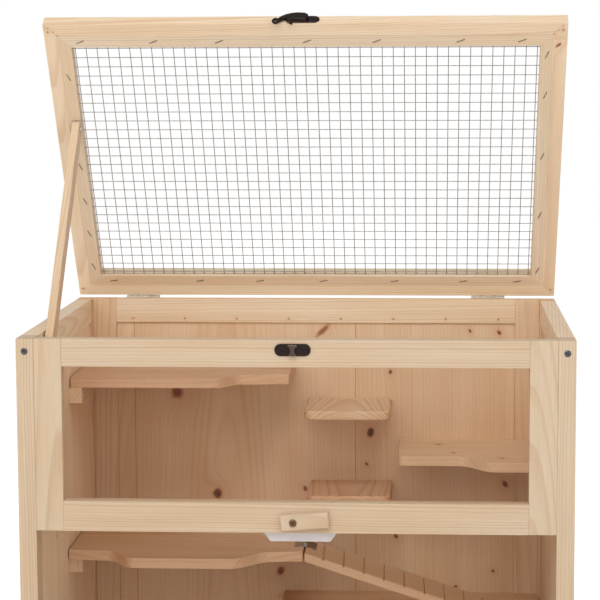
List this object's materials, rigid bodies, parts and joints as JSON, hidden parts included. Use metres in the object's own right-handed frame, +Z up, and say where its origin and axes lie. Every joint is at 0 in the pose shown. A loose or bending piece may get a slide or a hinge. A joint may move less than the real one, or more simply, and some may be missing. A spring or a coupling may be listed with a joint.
{
  "type": "small animal hutch",
  "caption": "Pine small-animal hutch with a propped wire-mesh lid, clear front window, drop-down front door, shelves and hinged ramps.",
  "frame": {"origin": "on the ground under the middle of the cabinet's footprint", "axes": "+X to the right seen from the front, +Y to the back, +Z up"},
  "size_m": [0.6, 0.7349, 0.9091],
  "materials": {
    "pine": "planed, unfinished",
    "pine_board": "glued boards, planed, unfinished",
    "pine_shelf": "sawn and sanded",
    "acrylic": "clear, polished",
    "white_plastic": "satin",
    "dark_bronze": "dark bronze plating, satin",
    "black_steel": "blackened, satin",
    "zinc_steel": "zinc plated",
    "wire": "galvanised, dull",
    "staple_wire": "galvanised, dull"
  },
  "bodies": {
    "cabinet": {"back_board": "pine_board", "back_bottom_rail": "pine", "back_stile_left": "pine", "back_stile_right": "pine", "back_top_rail": "pine", "catch_plate": "dark_bronze", "door_hinge_fixed_leaves": "zinc_steel", "door_stop_tab": "white_plastic", "floor_board": "pine_board", "front_sill": "pine", "hinge_pins": "zinc_steel", "lid_hinge_fixed_leaves": "zinc_steel", "post_front_left": "pine", "post_front_right": "pine", "post_rear_left": "pine", "post_rear_right": "pine", "post_screws": "black_steel", "ramp_hinge_fixed_leaves": "zinc_steel", "shelf_cleats": "pine_shelf", "shelf_lower_right": "pine_shelf", "shelf_middle_left": "pine_shelf", "shelf_middle_right": "pine_shelf", "shelf_upper_left": "pine_shelf", "side_board_left": "pine_board", "side_board_right": "pine_board", "side_bottom_rail_left": "pine", "side_bottom_rail_right": "pine", "side_top_rail_left": "pine", "side_top_rail_right": "pine", "step_lower": "pine_shelf", "step_upper": "pine_shelf", "turn_button_screw": "black_steel", "window_bottom_rail": "pine", "window_pane": "acrylic", "window_stile_left": "pine", "window_stile_right": "pine", "window_top_rail": "pine"},
    "lid": {"lid_front_rail": "pine", "lid_rear_rail": "pine", "lid_stile_left": "pine", "lid_stile_right": "pine", "lid_battens": "pine", "lid_mesh": "wire", "lid_staples": "staple_wire", "lid_hinge_moving_leaves": "zinc_steel", "latch_plate": "dark_bronze", "prop_bracket": "zinc_steel"},
    "prop": {"prop_stick": "pine"},
    "hook": {"latch_hook": "dark_bronze"},
    "button": {"turn_button": "pine"},
    "door": {"door_bottom_rail": "pine", "door_hinge_leaves": "zinc_steel", "door_pane": "acrylic", "door_stile_left": "pine", "door_stile_right": "pine", "door_top_rail": "pine"},
    "ramp_up": {"upper_ramp": "pine_shelf", "upper_ramp_hinge_leaf": "zinc_steel"},
    "ramp_down": {"lower_ramp": "pine_shelf", "lower_ramp_hinge_leaf": "zinc_steel"}
  },
  "joints": [
    {"name": "lid_hinge", "type": "hinge", "parent": "cabinet", "child": "lid", "pos_m": [0, 0.2025, 0.5605], "axis": [-1, 0, 0], "range_deg": [-57, 43]},
    {"name": "prop_swing", "type": "hinge", "parent": "lid", "child": "prop", "pos_m": [-0.274, 0.0488, 0.77607], "axis": [-1, 0, 0], "range_deg": [-20, 20]},
    {"name": "hook_swing", "type": "hinge", "parent": "lid", "child": "hook", "pos_m": [-0.0015, -0.00959, 0.90269], "axis": [0, 0.5446, -0.8387], "range_deg": [-90, 45]},
    {"name": "button_turn", "type": "hinge", "parent": "cabinet", "child": "button", "pos_m": [-0.0015, -0.205, 0.363], "axis": [0, -1, 0], "range_deg": [-94.7, 85.3]},
    {"name": "door_hinge", "type": "hinge", "parent": "cabinet", "child": "door", "pos_m": [0, -0.2025, 0.031], "axis": [1, 0, 0], "range_deg": [-95, 0]},
    {"name": "upper_ramp_hinge", "type": "hinge", "parent": "cabinet", "child": "ramp_up", "pos_m": [-0.0022, 0.032, 0.285], "axis": [0, -1, 0], "range_deg": [0, 30]},
    {"name": "lower_ramp_hinge", "type": "hinge", "parent": "cabinet", "child": "ramp_down", "pos_m": [-0.0415, 0.032, 0.1875], "axis": [0, 1, 0], "range_deg": [0, 50]}
  ],
  "couplings": [
    {"joint": "prop_swing", "follows": "lid_hinge", "ratio": -0.309}
  ]
}
